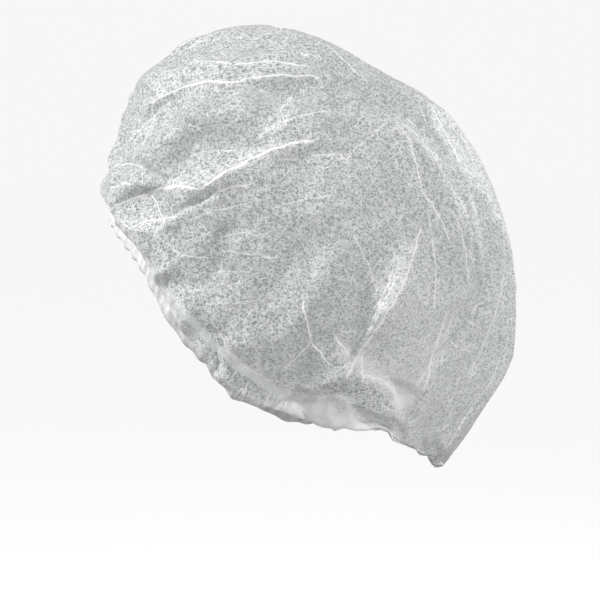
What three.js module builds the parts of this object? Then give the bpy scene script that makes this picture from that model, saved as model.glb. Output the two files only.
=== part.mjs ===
// A disposable bouffant hair cover, in the shape that it has on a head: a round cut of thin
// spunbond cloth, gathered into a folded hem with an elastic band inside. The elastic runs from
// the brow, below the ears, to the nape, and the slack cloth billows over it at the ears and nape.
// Millimetres. The face looks along -X, +Z is up, and the origin is the inner face of the crown,
// where the top of the head carries it.
import * as THREE from "three";

// Driving sizes
const CLOTH = 1.2; // wall of each cloth piece
const RIM_LENGTH = 206; // elastic, from brow to nape
const RIM_WIDTH = 150; // elastic, from side to side
const RIM_TILT = 29.5; // degrees by which the line from brow to nape slopes down to the back
const EAR_DIP = 41; // drop of the elastic below that line, under the ears
const CROWN_HEIGHT = 150; // from that line to the pole of the crown
const FRONT_REACH = 123; // from the middle of the rim to the front of the crown
const BACK_REACH = 133; // and to the back of the bag
const SIDE_REACH = 96; // and to each side
const SLACK = 60; // length of loose cloth that sets how far the bag hangs over the hem
const CUT_RADIUS = 250; // of the flat round cut, from its middle to the hem
const HEM_HEIGHT = 10; // folded hem, from its fold to its top edge
const HEM_LAP = 2.5; // overlap of the crown on the outside of the hem
const ELASTIC_WIDTH = 5;
const ELASTIC_THICKNESS = 1;
const CLEARANCE = 0.3; // gap kept between pieces that touch
const GATHER_DEPTH = 2.4; // how far a gather stands out of the hem
const FOLD_RISE = 6; // height of the tallest fold of the crown
const FOLD_WIDTH = 12; // half width of the widest fold, on the flat cut

// Counts
const GATHERS = 23; // gathers all round the rim
const COLUMNS = 4 * GATHERS; // facets round the cap
const ROWS = 24; // facets from the pole of the crown to its edge
const BELLY_ROW = 0.58; // share of the rows that lies above the widest place

// The crown's form, a row for each direction from the brow (0) round to the nape (180), the same on
// both sides. reach is a share of the plan's reach there, level the height of the widest place as a
// share of CROWN_HEIGHT, square the exponent of the section above it (2 is an ellipse), dip the
// drop of the elastic as a share of EAR_DIP. fall, out and lift are shares of SLACK: how far the
// cloth falls straight from its widest place, and from where, out and up, it comes in to the hem.
const FORM = [
  { at: 0, reach: 1.005, level: 0.45, square: 2.2, dip: 0.0, fall: 0.5, out: 0.2, lift: 0.1 },
  { at: 40, reach: 0.99, level: 0.4, square: 2.07, dip: 0.2, fall: 0.6, out: 0.2, lift: 0.08 },
  { at: 68, reach: 0.97, level: 0.3, square: 2.1, dip: 0.74, fall: 0.8, out: 0.15, lift: 0.0 },
  { at: 90, reach: 0.98, level: 0.25, square: 2.1, dip: 0.97, fall: 1.12, out: 0.12, lift: -0.35 },
  { at: 112, reach: 1.0, level: 0.2, square: 2.05, dip: 1.0, fall: 0.9, out: 0.12, lift: -0.12 },
  { at: 145, reach: 1.02, level: 0.08, square: 2.0, dip: 0.3, fall: 0.9, out: 0.18, lift: -0.55 },
  { at: 180, reach: 0.995, level: 0.0, square: 2.03, dip: 0.0, fall: 1.05, out: 0.3, lift: -0.7 },
];

// The main folds, a row for each, on the flat cut. Each runs straight between two places, given by
// the direction from the brow in degrees (over 180 is the right side) and the distance from the
// pole as a share of the cut's radius. rise is a share of FOLD_RISE, and below 0 for a dent; width
// is a share of FOLD_WIDTH.
const FOLDS = [
  { fromAt: 28, fromDown: 0.9, toAt: 84, toDown: 0.34, rise: 1.0, width: 0.9 },
  { fromAt: 42, fromDown: 0.9, toAt: 72, toDown: 0.48, rise: 0.7, width: 0.8 },
  { fromAt: 350, fromDown: 0.64, toAt: 32, toDown: 0.53, rise: 0.8, width: 1.0 },
  { fromAt: 24, fromDown: 0.56, toAt: 66, toDown: 0.25, rise: 0.6, width: 0.8 },
  { fromAt: 112, fromDown: 0.76, toAt: 112, toDown: 0.38, rise: 1.0, width: 0.8 },
  { fromAt: 84, fromDown: 0.26, toAt: 128, toDown: 0.42, rise: 0.6, width: 0.8 },
  { fromAt: 92, fromDown: 0.56, toAt: 112, toDown: 0.74, rise: 0.6, width: 0.8 },
  { fromAt: 148, fromDown: 0.31, toAt: 212, toDown: 0.31, rise: -1.3, width: 1.6 },
  { fromAt: 146, fromDown: 0.58, toAt: 214, toDown: 0.58, rise: 1.0, width: 1.3 },
  { fromAt: 128, fromDown: 0.5, toAt: 152, toDown: 0.78, rise: -0.8, width: 1.1 },
  { fromAt: 338, fromDown: 0.86, toAt: 286, toDown: 0.36, rise: 0.9, width: 0.9 },
  { fromAt: 304, fromDown: 0.78, toAt: 270, toDown: 0.46, rise: 0.7, width: 0.9 },
  { fromAt: 250, fromDown: 0.76, toAt: 244, toDown: 0.4, rise: 0.9, width: 0.9 },
  { fromAt: 282, fromDown: 0.28, toAt: 232, toDown: 0.4, rise: 0.6, width: 0.8 },
  { fromAt: 232, fromDown: 0.52, toAt: 206, toDown: 0.76, rise: -0.8, width: 1.1 },
];

// The hem's section, a row for each corner. leg is 1 on the outer leg and -1 on the inner one,
// skin 1 on the face away from the elastic and 0 on the face towards it, rise the share of the
// leg's height, and flare the share of the gather that moves the corner.
const HEM_CORNERS = [
  { leg: 1, skin: 1, rise: 0.45, flare: 1.0 },
  { leg: 1, skin: 1, rise: 0.1, flare: 0.3 },
  { leg: -1, skin: 1, rise: 0.1, flare: 0.3 },
  { leg: -1, skin: 1, rise: 1.0, flare: 0.7 },
  { leg: -1, skin: 0, rise: 1.0, flare: 0.7 },
  { leg: -1, skin: 0, rise: 0.0, flare: 0.3 },
  { leg: 1, skin: 0, rise: 0.0, flare: 0.3 },
  { leg: 1, skin: 0, rise: 0.45, flare: 1.0 },
  { leg: 1, skin: 0, rise: 1.0, flare: 1.0 },
  { leg: 1, skin: 1, rise: 1.0, flare: 1.0 },
];

// The elastic's section, a row for each corner: side is 1 outside and -1 inside.
const ELASTIC_CORNERS = [
  { side: 1, rise: 1 },
  { side: 1, rise: 0 },
  { side: -1, rise: 0 },
  { side: -1, rise: 1 },
];

const { degToRad, smoothstep } = THREE.MathUtils;
const HALF_CHANNEL = ELASTIC_THICKNESS / 2 + CLEARANCE; // room on each side of the elastic's middle
const HEM_FLOOR = CLOTH - HEM_HEIGHT / 2; // inside of the hem's fold
const TILT = new THREE.Quaternion().setFromAxisAngle(
  new THREE.Vector3(0, 1, 0),
  degToRad(RIM_TILT),
);
const FORM_COLUMNS = ["reach", "level", "square", "dip", "fall", "out", "lift"];

const formCurve = new THREE.CubicInterpolant(
  FORM.map((row) => degToRad(row.at)),
  FORM.flatMap((row) => FORM_COLUMNS.map((column) => row[column])),
  FORM_COLUMNS.length,
);
formCurve.settings = { endingStart: THREE.ZeroSlopeEnding, endingEnd: THREE.ZeroSlopeEnding };

// The form's row for any direction round the head, in radians from the brow.
function formAt(angle) {
  const fromBrow = Math.acos(THREE.MathUtils.clamp(Math.cos(angle), -1, 1));
  const values = formCurve.evaluate(fromBrow);
  return Object.fromEntries(FORM_COLUMNS.map((column, i) => [column, values[i]]));
}

// The middle of the elastic.
function rimPoint(angle) {
  return new THREE.Vector3(
    (-RIM_LENGTH / 2) * Math.cos(angle),
    (-RIM_WIDTH / 2) * Math.sin(angle),
    -EAR_DIP * formAt(angle).dip,
  );
}

// The level direction that points out of the elastic's oval.
function outward(angle) {
  return new THREE.Vector3(
    -RIM_WIDTH * Math.cos(angle),
    -RIM_LENGTH * Math.sin(angle),
    0,
  ).normalize();
}

// How far a gather stands out at this direction.
function gather(angle) {
  return (GATHER_DEPTH * (1 + Math.cos(GATHERS * angle))) / 2;
}

// The crown's middle surface without folds. down is 0 at the pole and 1 at the edge on the hem.
function plainCrown(angle, down) {
  const form = formAt(angle);
  const reach = Math.cos(angle) > 0 ? FRONT_REACH : BACK_REACH;
  const widest = new THREE.Vector3(
    -reach * form.reach * Math.cos(angle),
    -SIDE_REACH * form.reach * Math.sin(angle),
    CROWN_HEIGHT * form.level,
  );
  if (down <= BELLY_ROW) {
    const turn = ((down / BELLY_ROW) * Math.PI) / 2;
    const across = Math.sin(turn) ** (2 / form.square);
    const up = Math.cos(turn) ** (2 / form.square);
    return new THREE.Vector3(
      widest.x * across,
      widest.y * across,
      widest.z + (CROWN_HEIGHT - widest.z) * up,
    );
  }
  const lapOut = HALF_CHANNEL + CLOTH + CLEARANCE + CLOTH / 2;
  const edge = rimPoint(angle)
    .addScaledVector(outward(angle), lapOut)
    .add(new THREE.Vector3(0, 0, HEM_HEIGHT / 2 - HEM_LAP));
  const belly = new THREE.CubicBezierCurve3(
    widest,
    new THREE.Vector3(widest.x, widest.y, widest.z - SLACK * form.fall),
    edge
      .clone()
      .addScaledVector(outward(angle), SLACK * form.out)
      .add(new THREE.Vector3(0, 0, SLACK * form.lift)),
    edge,
  );
  return belly.getPoint((down - BELLY_ROW) / (1 - BELLY_ROW));
}

// A place on the flat cut.
function onCut(angle, down) {
  return new THREE.Vector2(Math.cos(angle), Math.sin(angle)).multiplyScalar(down * CUT_RADIUS);
}

const foldLines = FOLDS.map((row) => ({
  rise: FOLD_RISE * row.rise,
  width: FOLD_WIDTH * row.width,
  from: onCut(degToRad(row.fromAt), row.fromDown),
  to: onCut(degToRad(row.toAt), row.toDown),
}));

// How far the folds lift the cloth at this place, each highest half way along.
function foldLift(angle, down) {
  const place = onCut(angle, down);
  let lift = 0;
  for (const fold of foldLines) {
    const run = fold.to.clone().sub(fold.from);
    const along = place.clone().sub(fold.from).dot(run) / run.lengthSq();
    if (along <= 0 || along >= 1) continue;
    const away = fold.from.clone().addScaledVector(run, along).distanceTo(place);
    lift += fold.rise * Math.sin(Math.PI * along) * Math.exp(-((away / fold.width) ** 2));
  }
  return lift;
}

// The direction out of the cloth, from its neighbours one facet away.
function clothNormal(surface, angle, down) {
  if (down === 0) return new THREE.Vector3(0, 0, 1);
  const turn = (2 * Math.PI) / COLUMNS;
  const step = 1 / ROWS;
  const round = surface(angle + turn, down).sub(surface(angle - turn, down));
  const along = surface(angle, Math.min(1, down + step)).sub(surface(angle, down - step));
  return along.cross(round).normalize();
}

// The crown's middle surface with its folds and gathers.
function foldedCrown(angle, down) {
  const gathered = smoothstep(down, BELLY_ROW, 0.9) * gather(angle);
  return plainCrown(angle, down)
    .addScaledVector(outward(angle), gathered)
    .addScaledVector(clothNormal(plainCrown, angle, down), foldLift(angle, down));
}

// One face of the crown's cloth: side is 1 outside and -1 inside.
function crownPlace(angle, { down, side }) {
  const normal = clothNormal(foldedCrown, angle, down);
  return foldedCrown(down === 0 ? 0 : angle, down).addScaledVector(normal, (side * CLOTH) / 2);
}

// Whether the facet round this place lies closer to the cloth when it is split along the diagonal
// that turns with the angle on its way down.
function splitsForward(angle, down) {
  const turn = Math.PI / COLUMNS;
  const step = 0.5 / ROWS;
  const middle = foldedCrown(angle, down);
  const miss = (way) =>
    foldedCrown(angle - turn, down - way * step)
      .lerp(foldedCrown(angle + turn, down + way * step), 0.5)
      .distanceTo(middle);
  return miss(1) <= miss(-1);
}

// The highest place of the crown's inner face once the cap is tilted, where the head carries it.
function headSeat() {
  const rows = Array.from({ length: ROWS }, (_, row) => crownPlace(0, { down: row / ROWS, side: -1 }));
  const height = (place) => place.clone().applyQuaternion(TILT).z;
  return rows.reduce((best, place) => (height(place) > height(best) ? place : best));
}

// A corner of the hem's section in one direction round the head.
function hemPlace(angle, corner) {
  const bare = HALF_CHANNEL + corner.skin * CLOTH;
  const out = corner.leg * (bare + corner.flare * gather(angle));
  const fold = corner.skin === 1 ? -HEM_HEIGHT / 2 : HEM_FLOOR;
  const up = THREE.MathUtils.lerp(fold, HEM_HEIGHT / 2, corner.rise);
  return rimPoint(angle)
    .addScaledVector(outward(angle), out)
    .add(new THREE.Vector3(0, 0, up));
}

// A corner of the elastic's section, which lies just above the hem's fold.
function elasticPlace(angle, corner) {
  return rimPoint(angle)
    .addScaledVector(outward(angle), (corner.side * ELASTIC_THICKNESS) / 2)
    .add(new THREE.Vector3(0, 0, HEM_FLOOR + CLEARANCE + corner.rise * ELASTIC_WIDTH));
}

// A closed solid from rings of places, each joined to the next and the last to the first. forward
// says along which diagonal a facet between two rings is split. A ring may be a single point.
function ringGeometry(rings, placeOf, forward = () => true) {
  const turn = (2 * Math.PI) / COLUMNS;
  const columns = Array.from({ length: COLUMNS }, (_, i) => i);
  const places = rings.flatMap((ring) => columns.map((i) => placeOf(i * turn, ring)));
  const faces = [];
  const addFace = (a, b, c) => {
    const corners = [places[a], places[b], places[c]];
    if (corners.every((corner, i) => corner.distanceTo(corners[(i + 1) % 3]) > 0)) faces.push(a, b, c);
  };
  rings.forEach((ring, r) => {
    const s = (r + 1) % rings.length;
    for (const i of columns) {
      const j = (i + 1) % COLUMNS;
      const [a, b, c, d] = [r * COLUMNS + i, r * COLUMNS + j, s * COLUMNS + i, s * COLUMNS + j];
      if (forward((i + 0.5) * turn, ring, rings[s])) {
        addFace(a, c, d);
        addFace(a, d, b);
      } else {
        addFace(a, c, b);
        addFace(b, c, d);
      }
    }
  });
  const geometry = new THREE.BufferGeometry().setFromPoints(places);
  geometry.setIndex(faces);
  geometry.computeVertexNormals();
  return geometry;
}

// The crown's rings run from the pole down the outside and back up the inside.
function crownGeometry() {
  const downs = Array.from({ length: ROWS + 1 }, (_, row) => row / ROWS);
  const outside = downs.map((down) => ({ down, side: 1 }));
  const inside = downs.reverse().map((down) => ({ down, side: -1 }));
  return ringGeometry([...outside, ...inside], crownPlace, (angle, ring, next) =>
    splitsForward(angle, (ring.down + next.down) / 2) === next.down > ring.down,
  );
}

const spunbond = () =>
  new THREE.MeshStandardMaterial({ color: 0xe9eae6, roughness: 0.85, side: THREE.DoubleSide });
const rubber = () => new THREE.MeshStandardMaterial({ color: 0xf2f1ec, roughness: 0.6 });

function piece(name, geometry, material) {
  const mesh = new THREE.Mesh(geometry, material);
  mesh.name = name;
  return mesh;
}

const cap = new THREE.Group();
cap.add(
  piece("crown", crownGeometry(), spunbond()),
  piece("hem", ringGeometry(HEM_CORNERS, hemPlace), spunbond()),
  piece("elastic", ringGeometry(ELASTIC_CORNERS, elasticPlace), rubber()),
);
cap.position.copy(headSeat()).negate();

const worn = new THREE.Group();
worn.quaternion.copy(TILT);
worn.add(cap);

const hairCover = new THREE.Group();
hairCover.add(worn);

export default hairCover;
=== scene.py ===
"""A disposable bouffant hair cover of white spunbond cloth, in the shape that it has when worn.

The round cut is modelled flat, at its real size, and each of its points is then carried to its worn
place: a bag from the pole of the crown down to the elastic, with the main folds, the fine creases
and the gathers on it. The hem and the elastic are strips that are laid round the rim the same way.
"""

import math

import bmesh
import bpy
import numpy as np
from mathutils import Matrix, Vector, noise
from mathutils.geometry import delaunay_2d_cdt

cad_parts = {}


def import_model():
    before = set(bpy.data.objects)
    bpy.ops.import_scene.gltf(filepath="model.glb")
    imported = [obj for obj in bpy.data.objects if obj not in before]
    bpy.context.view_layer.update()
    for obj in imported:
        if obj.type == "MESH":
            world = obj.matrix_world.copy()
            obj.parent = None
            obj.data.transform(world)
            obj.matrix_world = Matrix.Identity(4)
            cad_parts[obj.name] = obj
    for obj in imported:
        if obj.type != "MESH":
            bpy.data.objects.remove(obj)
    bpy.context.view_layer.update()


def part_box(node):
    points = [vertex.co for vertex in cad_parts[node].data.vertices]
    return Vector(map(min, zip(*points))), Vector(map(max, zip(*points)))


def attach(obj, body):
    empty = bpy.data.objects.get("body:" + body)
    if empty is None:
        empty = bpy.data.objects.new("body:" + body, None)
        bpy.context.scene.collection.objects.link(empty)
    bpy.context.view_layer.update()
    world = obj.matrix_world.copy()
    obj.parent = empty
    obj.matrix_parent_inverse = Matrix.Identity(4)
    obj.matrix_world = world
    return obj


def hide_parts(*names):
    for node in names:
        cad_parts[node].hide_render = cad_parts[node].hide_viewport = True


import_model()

MM = 0.001

# Driving sizes, as in the solids
RIM_LENGTH = 206 * MM
RIM_WIDTH = 150 * MM
RIM_TILT = math.radians(29.5)
EAR_DIP = 41 * MM
CROWN_HEIGHT = 150 * MM
FRONT_REACH = 123 * MM
BACK_REACH = 133 * MM
SIDE_REACH = 96 * MM
SLACK = 60 * MM
CUT_RADIUS = 250 * MM
HEM_HEIGHT = 10 * MM
HEM_LAP = 2.5 * MM
ELASTIC_WIDTH = 5 * MM
ELASTIC_THICKNESS = 1 * MM
CLEARANCE = 0.3 * MM
WALL = 1.2 * MM
GATHER_DEPTH = 2.4 * MM
FOLD_RISE = 6 * MM
FOLD_WIDTH = 12 * MM
BELLY = 0.58

# The crown's form by direction, from the front at 0 degrees to the back at 180: the shares of the
# reach, of the height of the widest place, of the elastic's dip and of the slack, and the exponent
# of the section above the widest place.
FORM_NAMES = ("at", "reach", "level", "square", "dip", "fall", "out", "lift")
FORM = np.array([
    (0, 1.005, 0.45, 2.2, 0.0, 0.5, 0.2, 0.1),
    (40, 0.99, 0.4, 2.07, 0.2, 0.6, 0.2, 0.08),
    (68, 0.97, 0.3, 2.1, 0.74, 0.8, 0.15, 0.0),
    (90, 0.98, 0.25, 2.1, 0.97, 1.12, 0.12, -0.35),
    (112, 1.0, 0.2, 2.05, 1.0, 0.9, 0.12, -0.12),
    (145, 1.02, 0.08, 2.0, 0.3, 0.9, 0.18, -0.55),
    (180, 0.995, 0.0, 2.03, 0.0, 1.05, 0.3, -0.7),
])

# The main folds, as in the solids: from and to are a direction in degrees and a share of the way
# down the cut, then the shares of FOLD_RISE and FOLD_WIDTH.
FOLDS = (
    ((28, 0.9), (84, 0.34), 1.0, 0.9),
    ((42, 0.9), (72, 0.48), 0.7, 0.8),
    ((350, 0.64), (32, 0.53), 0.8, 1.0),
    ((24, 0.56), (66, 0.25), 0.6, 0.8),
    ((112, 0.76), (112, 0.38), 1.0, 0.8),
    ((84, 0.26), (128, 0.42), 0.6, 0.8),
    ((92, 0.56), (112, 0.74), 0.6, 0.8),
    ((148, 0.31), (212, 0.31), -1.3, 1.6),
    ((146, 0.58), (214, 0.58), 1.0, 1.3),
    ((128, 0.5), (152, 0.78), -0.8, 1.1),
    ((338, 0.86), (286, 0.36), 0.9, 0.9),
    ((304, 0.78), (270, 0.46), 0.7, 0.9),
    ((250, 0.76), (244, 0.4), 0.9, 0.9),
    ((282, 0.28), (232, 0.4), 0.6, 0.8),
    ((232, 0.52), (206, 0.76), -0.8, 1.1),
)

# The sharp creases of the side that the photograph shows: from, to, and the rise in millimetres.
CREASES = (
    ((30, 0.88), (58, 0.61), 1.5),
    ((58, 0.61), (76, 0.4), 1.3),
    ((40, 0.87), (55, 0.69), 1.1),
    ((52, 0.72), (68, 0.54), 1.0),
    ((49, 0.8), (60, 0.755), 0.9),
    ((60, 0.755), (68, 0.69), 0.8),
    ((22, 0.5), (39, 0.389), 1.0),
    ((39, 0.389), (56, 0.28), 1.0),
    ((26, 0.57), (44, 0.418), 1.1),
    ((44, 0.418), (62, 0.28), 1.0),
    ((22, 0.68), (36, 0.48), 0.9),
    ((112, 0.69), (112, 0.56), 1.5),
    ((112, 0.56), (112, 0.42), 1.2),
    ((110, 0.67), (109, 0.5), 0.7),
    ((96, 0.27), (109, 0.36), 0.8),
    ((109, 0.36), (122, 0.41), 0.9),
    ((97, 0.5), (109, 0.56), 0.7),
    ((94, 0.62), (101, 0.667), 1.1),
    ((101, 0.667), (108, 0.69), 1.1),
    ((99, 0.735), (101, 0.667), 1.0),
    ((104, 0.64), (112, 0.665), 0.8),
    ((111, 0.63), (117, 0.68), 0.9),
    ((116, 0.42), (124, 0.52), 0.8),
    ((76, 0.55), (88, 0.47), 0.6),
    ((70, 0.66), (84, 0.6), 0.6),
    ((130, 0.62), (141, 0.44), 0.8),
    ((146, 0.6), (150, 0.38), 0.9),
    ((158, 0.66), (160, 0.4), 0.8),
    ((76, 0.775), (88, 0.773), 0.7),
    ((88, 0.773), (98, 0.771), 0.8),
    ((98, 0.771), (108, 0.752), 0.8),
    ((108, 0.752), (118, 0.73), 0.6),
    ((128, 0.5), (134, 0.62), 1.0),
    ((34, 0.3), (50, 0.22), 0.6),
    ((62, 0.47), (74, 0.33), 0.6),
    ((86, 0.4), (92, 0.28), 0.6),
    ((70, 0.75), (79, 0.66), 0.5),
    ((84, 0.7), (88, 0.6), 0.5),
    ((120, 0.36), (132, 0.44), 0.8),
    ((114, 0.675), (125, 0.655), 0.6),
    ((125, 0.655), (134, 0.635), 0.5),
    ((117, 0.74), (126, 0.72), 0.7),
    ((126, 0.72), (134, 0.695), 0.6),
    ((98, 0.23), (110, 0.25), 0.7),
    ((112, 0.15), (125, 0.26), 0.8),
    ((38, 0.18), (72, 0.2), 0.7),
    ((40, 0.26), (56, 0.25), 0.5),
    ((38, 0.58), (54, 0.545), 0.4),
    ((54, 0.545), (62, 0.5), 0.5),
    ((77, 0.43), (86, 0.385), 0.6),
    ((117, 0.31), (127, 0.35), 0.7),
    ((284, 0.77), (270, 0.77), 0.8),
    ((270, 0.77), (254, 0.75), 0.7),
)

COLUMNS = 540
ROWS = 180
HEM_ROWS = 20
ELASTIC_ROWS = 4

# The crumple of crisp cloth, as flat facets: the distance between their corners, and how far the
# corners stand in or out.
LARGE_FACET = 40 * MM
LARGE_RISE = 5.2 * MM
SMALL_FACET = 16 * MM
SMALL_RISE = 2.6 * MM
DENSITY_FACET = 30 * MM
DEEPEST_DENT = 8 * MM

# The sheet lies inside the solids' outer face by SINK, so that its crumple stays near that face,
# and the bottom of the bag is drawn in by TUCK.
SINK = 3.6 * MM
TUCK = 5 * MM

# The creases: how far a crease is marked to each side, how far out it is looked for, how far its
# thin companions lie from it, the seam to the hem as a share of the way down and its half width, how
# many of each kind there are, and the distance that stands for no crease near.
CREASE_MARK = 4 * MM
CREASE_SEARCH = 12 * MM
COMPANION_AWAY = 9 * MM
SEAM_DOWN = 0.982
SEAM_HALF = 3 * MM
RANDOM_CREASES = 40
SIDE_RAYS = 15
RIM_RAYS = 130
FINE_GATHERS = 92
FAR_AWAY = 100 * MM


def shape_values(theta):
    """The form's columns at directions theta, as cubics with the slope of their neighbours."""
    x = np.radians(FORM[:, 0])
    y = FORM[:, 1:]
    slope = np.zeros_like(y)
    slope[1:-1] = (y[2:] - y[:-2]) / (x[2:] - x[:-2])[:, None]
    q = np.arccos(np.clip(np.cos(theta), -1, 1))
    i = np.clip(np.searchsorted(x, q, side="right") - 1, 0, len(x) - 2)
    span = x[i + 1] - x[i]
    t = ((q - x[i]) / span)[:, None]
    h = span[:, None]
    value = (
        (1 + 2 * t) * (1 - t) ** 2 * y[i]
        + t * (1 - t) ** 2 * h * slope[i]
        + t ** 2 * (3 - 2 * t) * y[i + 1]
        + t ** 2 * (t - 1) * h * slope[i + 1]
    )
    return dict(zip(FORM_NAMES[1:], value.T))


def smooth(x, low, high):
    t = np.clip((x - low) / (high - low), 0, 1)
    return t * t * (3 - 2 * t)


def rim(theta):
    """The middle of the elastic."""
    dip = shape_values(theta)["dip"]
    return np.stack([
        -RIM_LENGTH / 2 * np.cos(theta),
        -RIM_WIDTH / 2 * np.sin(theta),
        -EAR_DIP * dip,
    ], 1)


def outward(theta):
    """The level direction out of the elastic's oval."""
    d = np.stack([-RIM_WIDTH * np.cos(theta), -RIM_LENGTH * np.sin(theta), 0 * theta], 1)
    return d / np.linalg.norm(d, axis=1)[:, None]


def pleats(theta, count, jitter, seed):
    """Rounded pleats of uneven width and height round the rim, from 0 to 1."""
    wander = sum(np.sin(k * theta + seed * k) / k for k in (3, 5, 8, 13))
    height = 0.72 + 0.28 * np.sin(7 * theta + 2 * seed) * np.sin(count / 5 * theta + seed)
    return height * (0.5 + 0.5 * np.cos(count * theta + jitter * wander)) ** 1.4


def gather(theta, down):
    """How far the gathers stand out: fine ones at the hem that run together further up."""
    slack = 0.65 + 0.35 * smooth(np.abs((theta % (2 * math.pi)) - math.pi), 2.2, 1.2)
    coarse = 0.9 * pleats(theta, 23, 1.5, 1.0) * smooth(down, BELLY, 0.9)
    middle = 0.55 * pleats(theta, 46, 2.0, 2.0) * smooth(down, 0.76, 0.93)
    uneven = 0.35 + 0.65 * pleats(theta, 17, 4.0, 5.0)
    fine = 0.6 * uneven * pleats(theta, FINE_GATHERS, 9.0, 3.0) * smooth(down, 0.88, 0.97)
    return GATHER_DEPTH * slack * (coarse + middle + fine)


def bezier(p0, p1, p2, p3, t):
    t = t[:, None]
    return (1 - t) ** 3 * p0 + 3 * (1 - t) ** 2 * t * p1 + 3 * (1 - t) * t ** 2 * p2 + t ** 3 * p3


def plain_crown(theta, down):
    """The smooth bag. down is 0 at the pole and 1 at the edge on the hem."""
    f = shape_values(theta)
    up = np.array([0, 0, 1.0])
    reach = np.where(np.cos(theta) > 0, FRONT_REACH, BACK_REACH)
    widest = np.stack([
        -reach * f["reach"] * np.cos(theta),
        -SIDE_REACH * f["reach"] * np.sin(theta),
        CROWN_HEIGHT * f["level"],
    ], 1)
    turn = np.clip(down / BELLY, 0, 1) * math.pi / 2
    across = np.sin(turn) ** (2 / f["square"])
    rise = np.clip(np.cos(turn), 0, 1) ** (2 / f["square"])
    dome = widest * across[:, None]
    dome[:, 2] = widest[:, 2] + (CROWN_HEIGHT - widest[:, 2]) * rise
    lap = ELASTIC_THICKNESS / 2 + CLEARANCE + WALL + CLEARANCE + WALL / 2
    side = outward(theta)
    edge = rim(theta) + side * lap + up * (HEM_HEIGHT / 2 - HEM_LAP)
    fall = widest - up * (SLACK * f["fall"])[:, None]
    come = edge + side * (SLACK * f["out"])[:, None] + up * (SLACK * f["lift"])[:, None]
    belly = bezier(widest, fall, come, edge, np.clip((down - BELLY) / (1 - BELLY), 0, 1))
    return np.where((down <= BELLY)[:, None], dome, belly)


def normals(surface, theta, down):
    """The direction out of the surface."""
    step = 0.004
    round_way = surface(theta + step, down) - surface(theta - step, down)
    low = np.clip(down - step, 1e-4, 1)
    high = np.clip(down + step, 0, 1)
    down_way = surface(theta, high) - surface(theta, low)
    n = np.cross(down_way, round_way)
    length = np.linalg.norm(n, axis=1)[:, None]
    return np.where(down[:, None] < 0.002, [0, 0, 1], n / np.maximum(length, 1e-12))


def cut_place(at, down):
    """A place on the flat cut from its direction in degrees and its share of the way down."""
    a = math.radians(at)
    return np.array([math.cos(a), math.sin(a)]) * down * CUT_RADIUS


def line_profile(flat, start, end):
    """How far each place on the cut is from a line, and how far along it."""
    run = end - start
    along = (flat - start) @ run / (run @ run)
    nearest = start + np.clip(along, 0, 1)[:, None] * run
    return np.linalg.norm(flat - nearest, axis=1), along


def fold_lift(flat):
    """The main folds and dents."""
    lift = np.zeros(len(flat))
    for (a0, d0), (a1, d1), rise, width in FOLDS:
        away, along = line_profile(flat, cut_place(a0, d0), cut_place(a1, d1))
        fade = np.sin(math.pi * np.clip(along, 0, 1))
        lift += FOLD_RISE * rise * fade * np.exp(-((away / (FOLD_WIDTH * width)) ** 2))
    return lift


def all_creases():
    """The creases as (start, end, strength) on the flat cut: those of the photographed side, the
    main ones again along the folds of the other side, and others at random over the top and the
    far side, which are faint where they reach the bag on the photographed side."""
    rows = [(cut_place(*a), cut_place(*b), rise / 1.5) for a, b, rise in CREASES]
    for (at0, down0), (at1, down1), rise in CREASES:
        if rise >= 1:
            start = cut_place(368 - 1.05 * at0, down0)
            rows.append((start, cut_place(368 - 1.05 * at1, down1), rise / 2))
    for i in range(RANDOM_CREASES):
        a = noise.cell_vector(Vector((i * 3.1 + 0.5, 1.5, 0.5)))
        b = noise.cell_vector(Vector((i * 3.1 + 0.5, 7.5, 2.5)))
        at, down = 132 + 256 * a.x, 0.12 + 0.72 * math.sqrt(a.y)
        start = cut_place(at, down)
        bend = cut_place(at + 26 * (a.z - 0.5), down + 0.24 * (b.x - 0.5))
        end = cut_place(at + 60 * (a.z - 0.5), down + 0.3 * (b.x - 0.5) + 0.12 * (b.z - 0.5))
        plain = 0.3 if at < 178 else 1.0
        rows.append((start, bend, plain * (0.4 + 0.5 * b.y)))
        rows.append((bend, end, plain * (0.3 + 0.4 * b.y)))
    return rows


def companions(rows):
    """Thinner creases beside each crease, and ones that branch off it."""
    thin = []
    for i, (start, end, strength) in enumerate(rows):
        run = end - start
        side = np.array([-run[1], run[0]]) / np.linalg.norm(run)
        for j in range(3):
            a = noise.cell_vector(Vector((i + 0.5, j + 0.5, 11.5)))
            b = noise.cell_vector(Vector((i + 0.5, j + 0.5, 17.5)))
            off = side * (2 * a.x - 1) * COMPANION_AWAY
            turn = side * (2 * b.x - 1) * (4 + 18 * b.y ** 3) * MM
            first = start + run * 0.5 * a.y + off
            last = start + run * (0.55 + 0.5 * a.z) + off + turn
            thin.append((first, last, 0.12 + 0.3 * b.z))
    return thin


def hem_rays():
    """Short radial creases, where the gathers at the hem run out into the bag."""
    rows = []
    for i in range(SIDE_RAYS):
        a = noise.cell_vector(Vector((i * 1.7 + 0.5, 2.5, 5.5)))
        for at in (78 + 2.8 * i, 282 - 2.8 * i):
            top = cut_place(at + 5 * (a.y - 0.5), 0.8)
            rows.append((cut_place(at, 0.96), top, 0.25 + 0.4 * a.x))
    for i in range(RIM_RAYS):
        a = noise.cell_vector(Vector((i * 2.3 + 0.5, 4.5, 8.5)))
        at = 360 / RIM_RAYS * (i + 1.6 * (a.x - 0.5))
        run = 0.03 + 0.2 * a.y ** 2.5
        top = cut_place(at + 7 * (a.z - 0.5), 0.985 - run)
        rows.append((cut_place(at, 0.99), top, 0.15 + 0.4 * a.z ** 2))
    return rows


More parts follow.
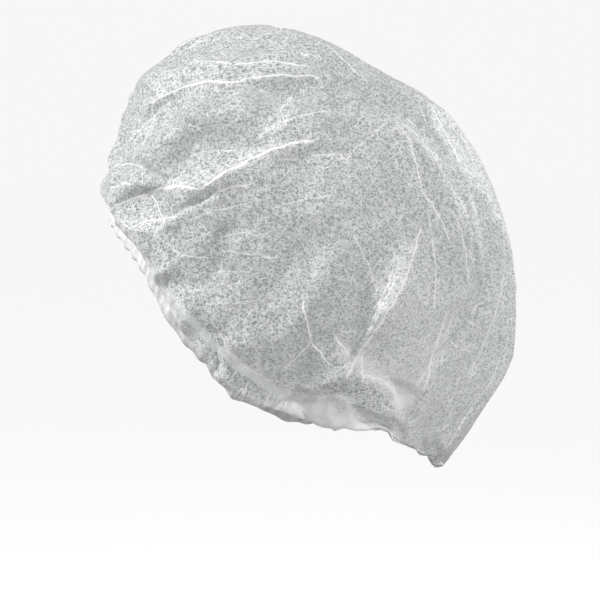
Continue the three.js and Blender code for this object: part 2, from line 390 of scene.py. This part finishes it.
def finder(flat):
    """Finds the places of the cut that lie in an upright box."""
    order = np.argsort(flat[:, 0], kind="stable")
    x, y = flat[order].T

    def within(low, high):
        first, last = np.searchsorted(x, (low[0], high[0]))
        part = slice(first, last)
        return order[part][(y[part] >= low[1]) & (y[part] <= high[1])]

    return within


def crease_marks(flat, rows):
    """For each place on the cut, how far across the nearest crease it is, with a sign, and how strong
    that crease is there. The material draws its thin white line from the two, which is partly closer
    cloth and partly a painted highlight."""
    across = np.full(len(flat), FAR_AWAY)
    mark = np.zeros(len(flat))
    within = finder(flat)
    for start, end, strength in rows:
        near = within(
            np.minimum(start, end) - CREASE_SEARCH, np.maximum(start, end) + CREASE_SEARCH,
        )
        spot = flat[near]
        away, along = line_profile(spot, start, end)
        run = end - start
        side = np.sign(run[0] * (spot[:, 1] - start[1]) - run[1] * (spot[:, 0] - start[0]))
        here = strength * np.exp(-((away / CREASE_MARK) ** 2))
        here *= smooth(along, -0.05, 0.04) * (1 - smooth(along, 0.92, 1.06))
        stronger = here > mark[near]
        mark[near[stronger]] = here[stronger]
        across[near[stronger]] = (away * side)[stronger]
    return across, mark


def facets(flat, spacing, rise, seed, rows=()):
    """Flat facets with sharp edges, as crisp cloth crumples. The creases are edges of them."""
    points, heights, edges = [], [], []
    for start, end, strength in rows:
        edges.append((len(points), len(points) + 1))
        points += [Vector(start), Vector(end)]
        heights += [rise * (0.3 + 1.1 * strength)] * 2
    kept = np.array([p[:] for p in points]) if points else np.full((1, 2), 9.0)
    reach = int(1.15 * CUT_RADIUS / spacing) + 2
    for i in range(-reach, reach + 1):
        for j in range(-reach, reach + 1):
            r = noise.cell_vector(Vector((i + 0.5, j + 0.5, seed)))
            across = i + 0.5 * (j % 2) + 0.8 * (r.x - 0.5)
            place = np.array([across, 0.87 * j + 0.8 * (r.y - 0.5)]) * spacing
            if np.linalg.norm(kept - place, axis=1).min() > 0.45 * spacing:
                points.append(Vector(place))
                heights.append(rise * (1.7 * r.z - 0.7))
    made, _, corners, origin, _, _ = delaunay_2d_cdt(points, edges, [], 0, 1e-6)
    height = np.array([np.mean([heights[k] for k in o]) if o else 0.0 for o in origin])
    made = np.array([v[:] for v in made])
    lift = np.zeros(len(flat))
    within = finder(flat)
    for corner in corners:
        a, b, c = made[list(corner)]
        near = within(np.minimum(np.minimum(a, b), c), np.maximum(np.maximum(a, b), c))
        square = np.array([b - a, c - a]).T
        if not len(near) or abs(np.linalg.det(square)) < 1e-12:
            continue
        s, t = np.linalg.solve(square, (flat[near] - a).T)
        inside = (s >= -1e-6) & (t >= -1e-6) & (s + t <= 1 + 1e-6)
        h = height[list(corner)]
        lift[near[inside]] = (h[0] + s * (h[1] - h[0]) + t * (h[2] - h[0]))[inside]
    return lift


def flat_cut(inner, outer, rows, columns):
    """A flat ring or, where inner is 0, a flat disc: a grid bent round to meet itself, which turns
    its faces over, so they are turned back to look out of the cap."""
    bm = bmesh.new()
    bmesh.ops.create_grid(bm, x_segments=columns, y_segments=rows, size=1)
    for vert in bm.verts:
        angle = math.pi * (vert.co.x + 1)
        radius = inner + (outer - inner) * (vert.co.y + 1) / 2
        vert.co = (radius * math.cos(angle), radius * math.sin(angle), 0)
    bmesh.ops.remove_doubles(bm, verts=bm.verts, dist=1e-6)
    bmesh.ops.reverse_faces(bm, faces=bm.faces)
    return bm


def lay(name, bm, place, inner, outer):
    """Makes the mesh of a flat cut and carries each of its points to its worn place."""
    mesh = bpy.data.meshes.new(name)
    uv = bm.loops.layers.uv.new("cut")
    for face in bm.faces:
        for loop in face.loops:
            loop[uv].uv = loop.vert.co.xy
        face.smooth = True
    bm.to_mesh(mesh)
    bm.free()
    flat = np.empty(len(mesh.vertices) * 3)
    mesh.vertices.foreach_get("co", flat)
    flat = flat.reshape(-1, 3)[:, :2]
    radius = np.linalg.norm(flat, axis=1)
    theta = np.arctan2(flat[:, 1], flat[:, 0])
    places, marks = place(theta, (radius - inner) / (outer - inner))
    mesh.vertices.foreach_set("co", to_row(places).ravel())
    for title, values in zip(("across", "mark", "gathering_and_pleat_light", "dense"), marks):
        mesh.attributes.new(title, "FLOAT", "POINT").data.foreach_set("value", values)
    mesh.update()
    piece = bpy.data.objects.new(name, mesh)
    bpy.context.scene.collection.objects.link(piece)
    return piece


def crown_place(theta, down):
    flat = np.stack([np.cos(theta), np.sin(theta)], 1) * (down * CUT_RADIUS)[:, None]
    base = plain_crown(theta, down)
    n = normals(plain_crown, theta, down)
    rows = all_creases()
    above_hem = 1 - smooth(down, 0.78, 0.92)
    back = smooth(-np.cos(theta), 0.45, 0.75)
    crumple = facets(flat, LARGE_FACET, LARGE_RISE, 1.5, rows)
    crumple += facets(flat, SMALL_FACET, SMALL_RISE, 7.5)
    crumple = np.maximum(crumple * (1 - smooth(down, 0.88, 1.0)), -DEEPEST_DENT * above_hem)
    tuck = TUCK * back * smooth(down, 0.55, 0.8) * (1 - smooth(down, 0.9, 1.0))
    lift = fold_lift(flat) + crumple - SINK * above_hem - tuck
    places = base + n * lift[:, None] + outward(theta) * gather(theta, down)[:, None]
    # The marks of the creases and of the seam, which the material draws as whiter lines: partly
    # closer cloth, partly painted highlight.
    across, mark = crease_marks(flat, rows + companions(rows) + hem_rays())
    from_seam = (SEAM_DOWN - down) * CUT_RADIUS
    seam = 0.7 * np.exp(-((from_seam / SEAM_HALF) ** 2))
    across = np.where(seam > mark, from_seam, across)
    mark = np.maximum(seam, mark)
    dense = facets(flat, DENSITY_FACET, 1.0, 3.5, rows)
    higher = 0.1 * np.exp(-(((np.abs(theta) - math.radians(112)) / 0.3) ** 2))
    # How gathered the crown is: at the rim it follows the fine pleats, partly closer cloth and partly
    # painted light on the pleat crests; the back of the bag and the doubled slack add to it.
    gathering_and_pleat_light = gather_streaks_and_pleat_light(theta) * smooth(down, 0.82 - higher, 0.95 - higher)
    gathering_and_pleat_light += 0.42 * back * smooth(down, 0.3, 0.75) + doubled(theta, down)
    return places, (across, mark, np.clip(gathering_and_pleat_light, 0, 1), dense)


def gather_streaks_and_pleat_light(theta):
    """How closely the cloth is gathered at the rim, in narrow bands that lie on the fine pleats, so
    the raised pleats come out whiter and closer: partly closer cloth and partly painted light on the
    pleat crests.
    """
    return 0.45 + 0.55 * pleats(theta, FINE_GATHERS, 9.0, 3.0)


def doubled(theta, down):
    """Where the slack low on each side lies double: a paler panel, a fold across its foot, a gap
    that shows one layer again, and the lobe under it."""
    at = np.degrees(np.abs(theta))
    window = smooth(at, 103, 113) * (1 - smooth(at, 131, 136))
    panel = 0.2 * smooth(down, 0.42, 0.52) * (1 - smooth(down, 0.67, 0.69))
    fold = 0.4 * np.exp(-(((down - 0.655) / 0.02) ** 2))
    return window * (panel + fold + 0.5 * smooth(down, 0.725, 0.75))


HALF_CHANNEL = ELASTIC_THICKNESS / 2 + CLEARANCE
HEM_FLOOR = WALL - HEM_HEIGHT / 2


def hem_place(theta, share):
    """The hem's strip, from the top of its outer leg, under the elastic, to that of its inner leg."""
    outer_end = 0.5
    turn = np.clip((share - outer_end + 0.06) / 0.12, 0, 1)
    leg = np.cos(math.pi * turn)
    height = np.where(share < outer_end, 1 - share / outer_end, (share - outer_end) / outer_end)
    puff = gather(theta, np.ones_like(theta)) * smooth(height, 0.05, 0.5)
    inner_pleats = pleats(theta, FINE_GATHERS, 9.0, 4.0)
    inner_puff = 0.7 * GATHER_DEPTH * inner_pleats * smooth(height, 0.05, 0.6)
    out = leg * (HALF_CHANNEL + WALL / 2) + np.where(leg > 0, puff, -inner_puff) * np.abs(leg)
    ruffle = 0.5 * MM * np.sin(46 * theta + 2 * np.sin(9 * theta)) * (1 - height)
    low = -HEM_HEIGHT / 2 + WALL / 2
    up = low + (HEM_HEIGHT / 2 - low) * height + ruffle
    places = rim(theta) + outward(theta) * out[:, None]
    places[:, 2] += up
    none = np.zeros_like(theta)
    # The hem is whiter on its raised pleats: partly closer cloth, partly painted light on the pleat
    # crests.
    return places, (none + FAR_AWAY, none, gather_streaks_and_pleat_light(theta), none)


def elastic_place(theta, share):
    places = rim(theta)
    places[:, 2] += HEM_FLOOR + CLEARANCE + share * ELASTIC_WIDTH
    return places, ()


COS, SIN = math.cos(RIM_TILT), math.sin(RIM_TILT)


def tilt(places):
    """Turns places from the cap's own frame to the frame that it is worn in."""
    x, y, z = places.T
    return np.stack([x * COS + z * SIN, y, -x * SIN + z * COS], 1)


def middle_of_rim():
    """Where the solids put the middle of the rim, from the box of the elastic."""
    theta = np.linspace(0, 2 * math.pi, 92, endpoint=False)
    low = np.full(3, 1e9)
    for side in (-1, 1):
        for rise in (0, 1):
            p = rim(theta) + outward(theta) * side * ELASTIC_THICKNESS / 2
            p[:, 2] += HEM_FLOOR + CLEARANCE + rise * ELASTIC_WIDTH
            low = np.minimum(low, tilt(p).min(0))
    return np.array(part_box("elastic")[0]) - low


MIDDLE = middle_of_rim()


def to_row(places):
    return tilt(places) + MIDDLE


def linear(code):
    """A hex sRGB colour as the linear one that shaders take."""
    rgb = [int(code[i:i + 2], 16) / 255 for i in (0, 2, 4)]
    return [c / 12.92 if c <= 0.04045 else ((c + 0.055) / 1.055) ** 2.4 for c in rgb] + [1.0]


def node(tree, kind, inputs=None, **settings):
    """Adds a node with its settings. Each of its inputs, by name or place, is linked to an output
    or set to a value."""
    made = tree.nodes.new(kind)
    for name, value in settings.items():
        setattr(made, name, value)
    for where, value in (inputs or {}).items():
        if isinstance(value, bpy.types.NodeSocket):
            tree.links.new(value, made.inputs[where])
        else:
            made.inputs[where].default_value = value
    return made


# The nets of threads: the grain of each in millimetres, its turn and its stretch, and how much of
# it is thread. Real threads are 0.02 mm thick and too fine to show, so these are drawn ten to twenty
# times as thick.
NETS = (
    (4.6, (0.3, 0.2, 0.1), (1.0, 1.0, 2.0), 0.04),
    (3.9, (1.2, 0.7, 0.4), (1.9, 1.0, 1.0), 0.04),
    (3.4, (0.5, 1.9, 1.1), (1.0, 1.8, 0.9), 0.045),
    (2.9, (2.1, 0.4, 1.7), (0.8, 1.0, 1.7), 0.045),
)
HAZE_CLOUD = 18 * MM
DENSITY_CLOUD = 46 * MM
WAVER = 7 * MM
CREASE_SWAY = 1.6 * MM
# Half widths of the white crest and halo of a crease line, which are partly painted highlight.
CREST_HALF = 0.85 * MM
HALO_HALF = 5 * MM
CRINKLE = 13 * MM
CRINKLE_DEPTH = 1.6 * MM
THREAD_DEPTH = 0.2 * MM


def fibre_net(tree, where, grain, turn, stretch, width):
    """Thin curved lines, as where a soft noise passes its middle value."""
    mapped = node(tree, "ShaderNodeMapping", {"Vector": where, "Rotation": turn, "Scale": stretch})
    wave = node(tree, "ShaderNodeTexNoise", {
        "Vector": mapped.outputs[0], "Scale": 1 / (grain * MM), "Detail": 1.5, "Roughness": 0.6,
    })
    off = node(tree, "ShaderNodeMath", {0: wave.outputs[0], 1: 0.5}, operation="SUBTRACT")
    away = node(tree, "ShaderNodeMath", {0: off.outputs[0]}, operation="ABSOLUTE")
    line = node(tree, "ShaderNodeMapRange", {
        "Value": away.outputs[0], "From Min": width, "From Max": 0.0,
    }, interpolation_type="SMOOTHSTEP")
    return line.outputs[0]


def all_threads(tree, where):
    """The nets of threads, laid over each other."""
    threads = fibre_net(tree, where, *NETS[0])
    for net in NETS[1:]:
        threads = node(tree, "ShaderNodeMath", {
            0: threads, 1: fibre_net(tree, where, *net),
        }, operation="MAXIMUM").outputs[0]
    return threads


def crease_lines_and_highlight(tree, where):
    """The white crest of each crease and a faint halo round it, from the marks on the mesh. The crest
    and the halo are partly the closer cloth of the fold and partly a painted highlight, as of a ridge
    that catches the light. The crest sways a little and is stronger in places, as in thin cloth that
    was folded by chance."""
    across = node(tree, "ShaderNodeAttribute", attribute_name="across").outputs["Fac"]
    mark = node(tree, "ShaderNodeAttribute", attribute_name="mark").outputs["Fac"]
    waver = node(tree, "ShaderNodeTexNoise", {
        "Vector": where, "Scale": 1 / WAVER, "Detail": 2.0,
    }).outputs[0]
    sway = node(tree, "ShaderNodeMapRange", {
        "Value": waver, "To Min": -CREASE_SWAY, "To Max": CREASE_SWAY,
    })
    bent = node(tree, "ShaderNodeMath", {0: across, 1: sway.outputs[0]}, operation="ADD")
    off = node(tree, "ShaderNodeMath", {0: bent.outputs[0]}, operation="ABSOLUTE")
    lines = []
    for half in (CREST_HALF, HALO_HALF):
        fall = node(tree, "ShaderNodeMath", {0: off.outputs[0], 1: 1 / half}, operation="MULTIPLY")
        line = node(tree, "ShaderNodeMath", {
            0: mark, 1: fall.outputs[0],
        }, operation="SUBTRACT", use_clamp=True)
        lines.append(line.outputs[0])
    patchy = node(tree, "ShaderNodeMapRange", {
        "Value": waver, "From Min": 0.3, "From Max": 0.7, "To Min": 0.8, "To Max": 1.9,
    })
    crest = node(tree, "ShaderNodeMath", {
        0: lines[0], 1: patchy.outputs[0],
    }, operation="MULTIPLY")
    both = node(tree, "ShaderNodeMath", {
        0: lines[1], 1: 0.16, 2: crest.outputs[0],
    }, operation="MULTIPLY_ADD", use_clamp=True)
    return both.outputs[0]


def thread_density(tree, where, gathering_and_pleat_light):
    """How well the threads show: in broad clouds and by facet, and less where many layers lie
    together and even them out."""
    dense = node(tree, "ShaderNodeAttribute", attribute_name="dense").outputs["Fac"]
    cloud = node(tree, "ShaderNodeTexNoise", {
        "Vector": where, "Scale": 1 / DENSITY_CLOUD, "Detail": 1.0,
    })
    broad = node(tree, "ShaderNodeMapRange", {
        "Value": cloud.outputs[0], "From Min": 0.35, "From Max": 0.65, "To Min": 0.5, "To Max": 0.75,
    })
    by_facet = node(tree, "ShaderNodeMapRange", {
        "Value": dense, "From Min": -1.0, "From Max": 1.0, "To Min": 0.0, "To Max": 0.35,
    })
    single = node(tree, "ShaderNodeMath", {
        0: broad.outputs[0], 1: by_facet.outputs[0],
    }, operation="ADD", use_clamp=True)
    evened = node(tree, "ShaderNodeMapRange", {"Value": gathering_and_pleat_light, "To Min": 1.0, "To Max": 0.2})
    return node(tree, "ShaderNodeMath", {
        0: single.outputs[0], 1: evened.outputs[0],
    }, operation="MULTIPLY").outputs[0]


def spunbond(name, cover, uneven, thread, bunched):
    """Spunbond polypropylene: fine endless fibres laid at random and bonded hot, so it is a white
    haze of curved threads with small clear gaps, cloudy where more of them lie together, and whiter
    and closer where it is creased or gathered. That white on the creases and on the raised pleats is
    partly closer cloth and partly painted highlight. cover and uneven are the haze and its range,
    thread and bunched are how much the threads and the gathers add to it."""
    mat = bpy.data.materials.new(name)
    mat.use_nodes = True
    tree = mat.node_tree
    tree.nodes.clear()
    where = node(tree, "ShaderNodeTexCoord").outputs["Object"]
    gathering_and_pleat_light = node(tree, "ShaderNodeAttribute", attribute_name="gathering_and_pleat_light").outputs["Fac"]
    threads = all_threads(tree, where)
    crease = crease_lines_and_highlight(tree, where)
    density = thread_density(tree, where, gathering_and_pleat_light)
    seen = node(tree, "ShaderNodeMath", {0: threads, 1: density}, operation="MULTIPLY").outputs[0]
    cloud = node(tree, "ShaderNodeTexNoise", {
        "Vector": where, "Scale": 1 / HAZE_CLOUD, "Detail": 3.0, "Roughness": 0.6,
    })
    haze = node(tree, "ShaderNodeMapRange", {
        "Value": cloud.outputs[0], "From Min": 0.32, "From Max": 0.68,
        "To Min": cover - uneven, "To Max": cover + uneven,
    }).outputs[0]
    sums = []
    for total, parts in (
        (haze, ((density, 0.14), (seen, thread), (crease, 1.0), (gathering_and_pleat_light, bunched))),
        (0.0, ((seen, 0.6), (crease, 1.0), (gathering_and_pleat_light, bunched))),
    ):
        for part, weight in parts:
            total = node(tree, "ShaderNodeMath", {
                0: part, 1: weight, 2: total,
            }, operation="MULTIPLY_ADD", use_clamp=True).outputs[0]
        sums.append(total)
    opacity, whiteness_and_highlight = sums
    # The colour runs from grey to near white, and on creases and raised pleats that white is partly
    # painted highlight.
    tint = node(tree, "ShaderNodeMix", {
        "Factor": whiteness_and_highlight, "A": linear("adb0b0"), "B": linear("fcfdfc"),
    }, data_type="RGBA").outputs["Result"]
    crinkle = node(tree, "ShaderNodeTexVoronoi", {
        "Vector": where, "Scale": 1 / CRINKLE,
    }, feature="DISTANCE_TO_EDGE")
    folds = node(tree, "ShaderNodeBump", {
        "Height": crinkle.outputs["Distance"], "Strength": 0.8, "Distance": CRINKLE_DEPTH,
    })
    bump = node(tree, "ShaderNodeBump", {
        "Height": threads, "Normal": folds.outputs[0], "Strength": 0.3, "Distance": THREAD_DEPTH,
    })
    body = node(tree, "ShaderNodeBsdfPrincipled", {
        "Base Color": tint, "Normal": bump.outputs[0], "Roughness": 0.55, "Specular IOR Level": 0.4,
    })
    through = node(tree, "ShaderNodeBsdfTranslucent", {"Color": tint})
    cloth = node(tree, "ShaderNodeMixShader", {
        "Fac": 0.28, 1: body.outputs[0], 2: through.outputs[0],
    })
    clear = node(tree, "ShaderNodeBsdfTransparent", {"Color": linear("d5d7d7")})
    film = node(tree, "ShaderNodeMixShader", {
        "Fac": opacity, 1: clear.outputs[0], 2: cloth.outputs[0],
    })
    node(tree, "ShaderNodeOutputMaterial", {"Surface": film.outputs[0]})
    return mat


# This scale puts the ribs of a wave texture 2.4 mm apart.
RIB_SCALE = 1 / (1.2 * MM) / 6.28


def elastic_rubber():
    """White knitted elastic: matte, with fine ribs, drawn twice as far apart as real ones."""
    mat = bpy.data.materials.new("white elastic tape")
    mat.use_nodes = True
    tree = mat.node_tree
    tree.nodes.clear()
    where = node(tree, "ShaderNodeTexCoord").outputs["Object"]
    rib = node(tree, "ShaderNodeTexWave", {"Vector": where, "Scale": RIB_SCALE})
    bump = node(tree, "ShaderNodeBump", {
        "Height": rib.outputs[0], "Strength": 0.4, "Distance": 0.1 * MM,
    })
    body = node(tree, "ShaderNodeBsdfPrincipled", {
        "Base Color": linear("e9e7e1"), "Roughness": 0.7, "Normal": bump.outputs[0],
    })
    node(tree, "ShaderNodeOutputMaterial", {"Surface": body.outputs[0]})
    return mat


def pale_floor(level):
    """A matte pale floor that glows a little, so that it runs into the surround without an edge."""
    bm = bmesh.new()
    bmesh.ops.create_circle(bm, cap_ends=True, segments=96, radius=12)
    mesh = bpy.data.meshes.new("floor")
    bm.to_mesh(mesh)
    bm.free()
    floor = bpy.data.objects.new("floor", mesh)
    floor.location.z = level
    bpy.context.scene.collection.objects.link(floor)
    mat = bpy.data.materials.new("pale floor")
    mat.use_nodes = True
    tree = mat.node_tree
    tree.nodes.clear()
    path = node(tree, "ShaderNodeLightPath")
    glow = node(tree, "ShaderNodeMapRange", {
        "Value": path.outputs["Is Camera Ray"], "To Min": 0.25, "To Max": 0.9,
    })
    body = node(tree, "ShaderNodeBsdfPrincipled", {
        "Base Color": linear("707070"), "Roughness": 0.9, "Specular IOR Level": 0.0,
        "Emission Color": linear("ffffff"), "Emission Strength": glow.outputs[0],
    })
    node(tree, "ShaderNodeOutputMaterial", {"Surface": body.outputs[0]})
    mesh.materials.append(mat)


LIGHT_AIM = Vector((0, 0, -0.12))


def soft_light(name, place, size, power):
    data = bpy.data.lights.new(name, "AREA")
    data.shape = "DISK"
    data.size = size
    data.energy = power
    light = bpy.data.objects.new(name, data)
    light.location = place
    light.rotation_mode = "QUATERNION"
    light.rotation_quaternion = (LIGHT_AIM - Vector(place)).to_track_quat("-Z", "Y")
    bpy.context.scene.collection.objects.link(light)


def world(colour, shown, lit):
    """A pale surround, shown to the camera brighter than it lights the cloth."""
    sky = bpy.data.worlds.new("surround")
    bpy.context.scene.world = sky
    sky.use_nodes = True
    tree = sky.node_tree
    tree.nodes.clear()
    path = node(tree, "ShaderNodeLightPath")
    strength = node(tree, "ShaderNodeMapRange", {
        "Value": path.outputs["Is Camera Ray"], "To Min": lit, "To Max": shown,
    })
    back = node(tree, "ShaderNodeBackground", {
        "Color": linear(colour), "Strength": strength.outputs[0],
    })
    node(tree, "ShaderNodeOutputWorld", {"Surface": back.outputs[0]})


# The photograph's frame: the pixel of the rim's middle, the size of a pixel there, and the
# elevation of the camera.
PICTURE = 600
RIM_PIXEL = (272.5, 304.0)
PIXEL = 0.57 * MM
ELEVATION = math.radians(5)
DISTANCE = 1.5


def camera():
    data = bpy.data.cameras.new("camera")
    data.sensor_width = 36
    data.lens = data.sensor_width * DISTANCE / (PICTURE * PIXEL)
    aim = Vector(MIDDLE) + Vector((
        (PICTURE / 2 - RIM_PIXEL[0]) * PIXEL,
        0,
        (RIM_PIXEL[1] - PICTURE / 2) * PIXEL / math.cos(ELEVATION),
    ))
    back = Vector((0, -math.cos(ELEVATION), math.sin(ELEVATION)))
    cam = bpy.data.objects.new("camera", data)
    cam.location = aim + back * DISTANCE
    cam.rotation_mode = "QUATERNION"
    cam.rotation_quaternion = (-back).to_track_quat("-Z", "Y")
    bpy.context.scene.collection.objects.link(cam)
    bpy.context.scene.camera = cam


camera()

crown = lay("crown_cloth", flat_cut(0, CUT_RADIUS, ROWS, COLUMNS), crown_place, 0, CUT_RADIUS)
# The hem and the elastic start from a ring 20 mm wide, which is wide enough for the hem's fold.
RING = (1.0, 1.02)
hem = lay("hem_fold", flat_cut(*RING, HEM_ROWS, 2 * COLUMNS), hem_place, *RING)
elastic = lay("elastic_tape", flat_cut(*RING, ELASTIC_ROWS, COLUMNS), elastic_place, *RING)
wall = elastic.modifiers.new("thickness", "SOLIDIFY")
wall.thickness = ELASTIC_THICKNESS
wall.offset = 0

cloth = spunbond("spunbond polypropylene", cover=0.27, uneven=0.1, thread=0.78, bunched=0.85)
folded = spunbond("folded spunbond hem", cover=0.8, uneven=0.14, thread=0.3, bunched=0.9)
crown.data.materials.append(cloth)
hem.data.materials.append(folded)
elastic.data.materials.append(elastic_rubber())

for piece, solid, slot in (
    (crown, "crown", "spunbond_cloth"),
    (hem, "hem", "hem_cloth"),
    (elastic, "elastic", "elastic_rubber"),
):
    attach(piece, "root")
    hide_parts(solid)

pale_floor(level=-0.62)
world("ffffff", shown=0.93, lit=0.17)
soft_light("key", (-1.25, -0.3, 0.9), size=0.16, power=36)
soft_light("back", (1.1, 0.9, 0.5), size=0.8, power=22)
soft_light("fill", (1.1, -1.3, 0.6), size=0.6, power=24)
bpy.context.scene.view_settings.view_transform = "Standard"
